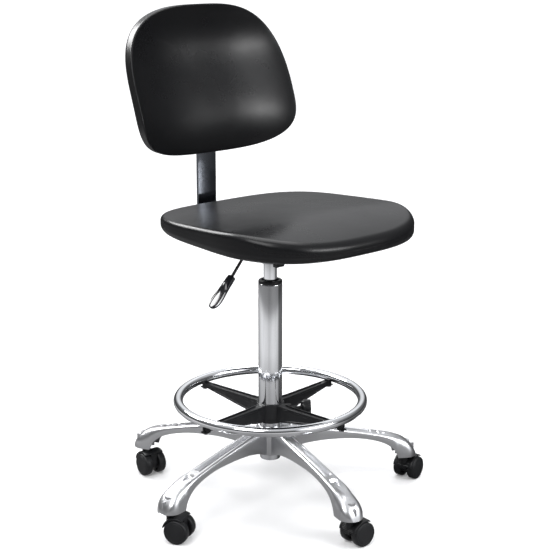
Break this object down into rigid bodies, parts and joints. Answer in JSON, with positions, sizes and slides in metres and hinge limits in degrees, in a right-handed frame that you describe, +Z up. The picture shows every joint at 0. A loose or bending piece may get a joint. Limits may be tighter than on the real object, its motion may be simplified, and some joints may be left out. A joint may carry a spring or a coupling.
{
  "type": "drafting chair",
  "caption": "Swivel drafting chair with foam seat and backrest on a gas lift, foot ring on the column and a polished star base on twin-wheel casters.",
  "frame": {"origin": "on the floor, on the axis of the gas lift column", "axes": "+Z up along the column, -Y towards the front of the seat, +X towards the sitter's left"},
  "size_m": [0.6355, 0.6209, 1.02],
  "materials": {
    "cast_aluminium": "polished",
    "chrome_plate": "polished",
    "skinned_foam": "satin",
    "wheel_nylon": "satin",
    "black_nylon": "satin",
    "gloss_nylon": "gloss",
    "plywood": "matte",
    "zinc_casting": "satin",
    "pressed_steel": "satin",
    "bright_steel": "satin"
  },
  "bodies": {
    "base": {"star_hub": "cast_aluminium", "star_arms": "cast_aluminium", "column_tube": "chrome_plate", "guide_bush": "black_nylon", "thrust_bearing": "bright_steel", "caster_stem_1": "bright_steel", "caster_stem_2": "bright_steel", "caster_stem_3": "bright_steel", "caster_stem_4": "bright_steel", "caster_stem_5": "bright_steel"},
    "lift_rod": {"piston_rod": "bright_steel", "gas_piston": "bright_steel", "retaining_clip": "bright_steel"},
    "seat": {"inner_cylinder": "chrome_plate", "taper_socket": "zinc_casting", "seat_plate": "pressed_steel", "seat_board": "plywood", "seat_foam": "skinned_foam", "seat_bolts": "bright_steel", "bar_clamp": "pressed_steel", "lever_pivot": "bright_steel", "valve_cover": "black_nylon"},
    "valve": {"valve_button": "bright_steel"},
    "lever": {"lever_rod": "bright_steel", "lever_handle": "gloss_nylon"},
    "depth_clamp": {"depth_knob": "black_nylon"},
    "bar": {"back_bar": "chrome_plate", "bar_end_cap": "black_nylon"},
    "backrest": {"back_foam": "skinned_foam", "back_board": "black_nylon", "back_bracket": "pressed_steel", "back_bolts": "bright_steel"},
    "height_clamp": {"height_knob": "black_nylon"},
    "footring": {"foot_ring": "chrome_plate", "footring_spider": "black_nylon", "ring_clips": "black_nylon", "ring_screws": "bright_steel"},
    "footring_clamp": {"clamp_knob": "black_nylon"},
    "caster_1": {"caster_hood_1": "black_nylon", "caster_axle_1": "bright_steel"},
    "wheel_a_1": {"caster_wheel_a_1": "wheel_nylon"},
    "wheel_b_1": {"caster_wheel_b_1": "wheel_nylon"},
    "caster_2": {"caster_hood_2": "black_nylon", "caster_axle_2": "bright_steel"},
    "wheel_a_2": {"caster_wheel_a_2": "wheel_nylon"},
    "wheel_b_2": {"caster_wheel_b_2": "wheel_nylon"},
    "caster_3": {"caster_hood_3": "black_nylon", "caster_axle_3": "bright_steel"},
    "wheel_a_3": {"caster_wheel_a_3": "wheel_nylon"},
    "wheel_b_3": {"caster_wheel_b_3": "wheel_nylon"},
    "caster_4": {"caster_hood_4": "black_nylon", "caster_axle_4": "bright_steel"},
    "wheel_a_4": {"caster_wheel_a_4": "wheel_nylon"},
    "wheel_b_4": {"caster_wheel_b_4": "wheel_nylon"},
    "caster_5": {"caster_hood_5": "black_nylon", "caster_axle_5": "bright_steel"},
    "wheel_a_5": {"caster_wheel_a_5": "wheel_nylon"},
    "wheel_b_5": {"caster_wheel_b_5": "wheel_nylon"}
  },
  "joints": [
    {"name": "seat_swivel", "type": "hinge", "parent": "base", "child": "lift_rod", "pos_m": [0, 0, 0.3], "axis": [0, 0, 1], "continuous": true},
    {"name": "seat_height", "type": "slide", "parent": "lift_rod", "child": "seat", "axis": [0, 0, 1], "range_m": [0, 0.2]},
    {"name": "lever_pull", "type": "hinge", "parent": "seat", "child": "lever", "pos_m": [-0.034, 0, 0.56], "axis": [0, 1, 0], "range_deg": [0, 5], "stiffness_Nm_per_rad": 8, "springref_deg": -8.59},
    {"name": "valve_press", "type": "slide", "parent": "seat", "child": "valve", "axis": [0, 0, -1], "range_m": [0, 0.0031]},
    {"name": "depth_knob_turn", "type": "hinge", "parent": "seat", "child": "depth_clamp", "pos_m": [0, 0.12, 0.54], "axis": [0, 0, -1], "range_deg": [0, 540]},
    {"name": "back_depth", "type": "slide", "parent": "seat", "child": "bar", "axis": [0, 1, 0], "range_m": [-0.02, 0.03]},
    {"name": "back_height", "type": "slide", "parent": "bar", "child": "backrest", "axis": [0, 0.1736, 0.9848], "range_m": [-0.015, 0.025]},
    {"name": "height_knob_turn", "type": "hinge", "parent": "backrest", "child": "height_clamp", "pos_m": [0, 0.23809, 0.80331], "axis": [0, 0.9848, -0.1736], "range_deg": [0, 540]},
    {"name": "footring_height", "type": "slide", "parent": "base", "child": "footring", "axis": [0, 0, 1], "range_m": [-0.01, 0.21]},
    {"name": "footring_knob_turn", "type": "hinge", "parent": "footring", "child": "footring_clamp", "pos_m": [0.03886, -0.03147, 0.19], "axis": [0.7771, -0.6293, 0], "range_deg": [0, 540]},
    {"name": "caster_swivel_1", "type": "hinge", "parent": "base", "child": "caster_1", "pos_m": [0.22014, 0.20528, 0.05], "axis": [0, 0, 1], "continuous": true},
    {"name": "wheel_a_roll_1", "type": "hinge", "parent": "caster_1", "child": "wheel_a_1", "pos_m": [0.20038, 0.20841, 0.025], "axis": [-0.1564, -0.9877, 0], "continuous": true},
    {"name": "wheel_b_roll_1", "type": "hinge", "parent": "caster_1", "child": "wheel_b_1", "pos_m": [0.20038, 0.20841, 0.025], "axis": [-0.1564, -0.9877, 0], "continuous": true},
    {"name": "caster_swivel_2", "type": "hinge", "parent": "base", "child": "caster_2", "pos_m": [-0.12721, 0.2728, 0.05], "axis": [0, 0, 1], "continuous": true},
    {"name": "wheel_a_roll_2", "type": "hinge", "parent": "caster_2", "child": "wheel_a_2", "pos_m": [-0.12895, 0.25288, 0.025], "axis": [0.9962, -0.0872, 0], "continuous": true},
    {"name": "wheel_b_roll_2", "type": "hinge", "parent": "caster_2", "child": "wheel_b_2", "pos_m": [-0.12895, 0.25288, 0.025], "axis": [0.9962, -0.0872, 0], "continuous": true},
    {"name": "caster_swivel_3", "type": "hinge", "parent": "base", "child": "caster_3", "pos_m": [-0.29876, -0.03668, 0.05], "axis": [0, 0, 1], "continuous": true},
    {"name": "wheel_a_roll_3", "type": "hinge", "parent": "caster_3", "child": "wheel_a_3", "pos_m": [-0.28937, -0.05434, 0.025], "axis": [0.8829, 0.4695, 0], "continuous": true},
    {"name": "wheel_b_roll_3", "type": "hinge", "parent": "caster_3", "child": "wheel_b_3", "pos_m": [-0.28937, -0.05434, 0.025], "axis": [0.8829, 0.4695, 0], "continuous": true},
    {"name": "caster_swivel_4", "type": "hinge", "parent": "base", "child": "caster_4", "pos_m": [-0.05743, -0.29547, 0.05], "axis": [0, 0, 1], "continuous": true},
    {"name": "wheel_a_roll_4", "type": "hinge", "parent": "caster_4", "child": "wheel_a_4", "pos_m": [-0.03746, -0.29652, 0.025], "axis": [0.0523, 0.9986, 0], "continuous": true},
    {"name": "wheel_b_roll_4", "type": "hinge", "parent": "caster_4", "child": "wheel_b_4", "pos_m": [-0.03746, -0.29652, 0.025], "axis": [0.0523, 0.9986, 0], "continuous": true},
    {"name": "caster_swivel_5", "type": "hinge", "parent": "base", "child": "caster_5", "pos_m": [0.26326, -0.14593, 0.05], "axis": [0, 0, 1], "continuous": true},
    {"name": "wheel_a_roll_5", "type": "hinge", "parent": "caster_5", "child": "wheel_a_5", "pos_m": [0.28282, -0.14177, 0.025], "axis": [-0.2079, 0.9781, 0], "continuous": true},
    {"name": "wheel_b_roll_5", "type": "hinge", "parent": "caster_5", "child": "wheel_b_5", "pos_m": [0.28282, -0.14177, 0.025], "axis": [-0.2079, 0.9781, 0], "continuous": true}
  ],
  "couplings": [
    {"joint": "valve_press", "follows": "lever_pull", "m_per_rad": 0.034377}
  ]
}
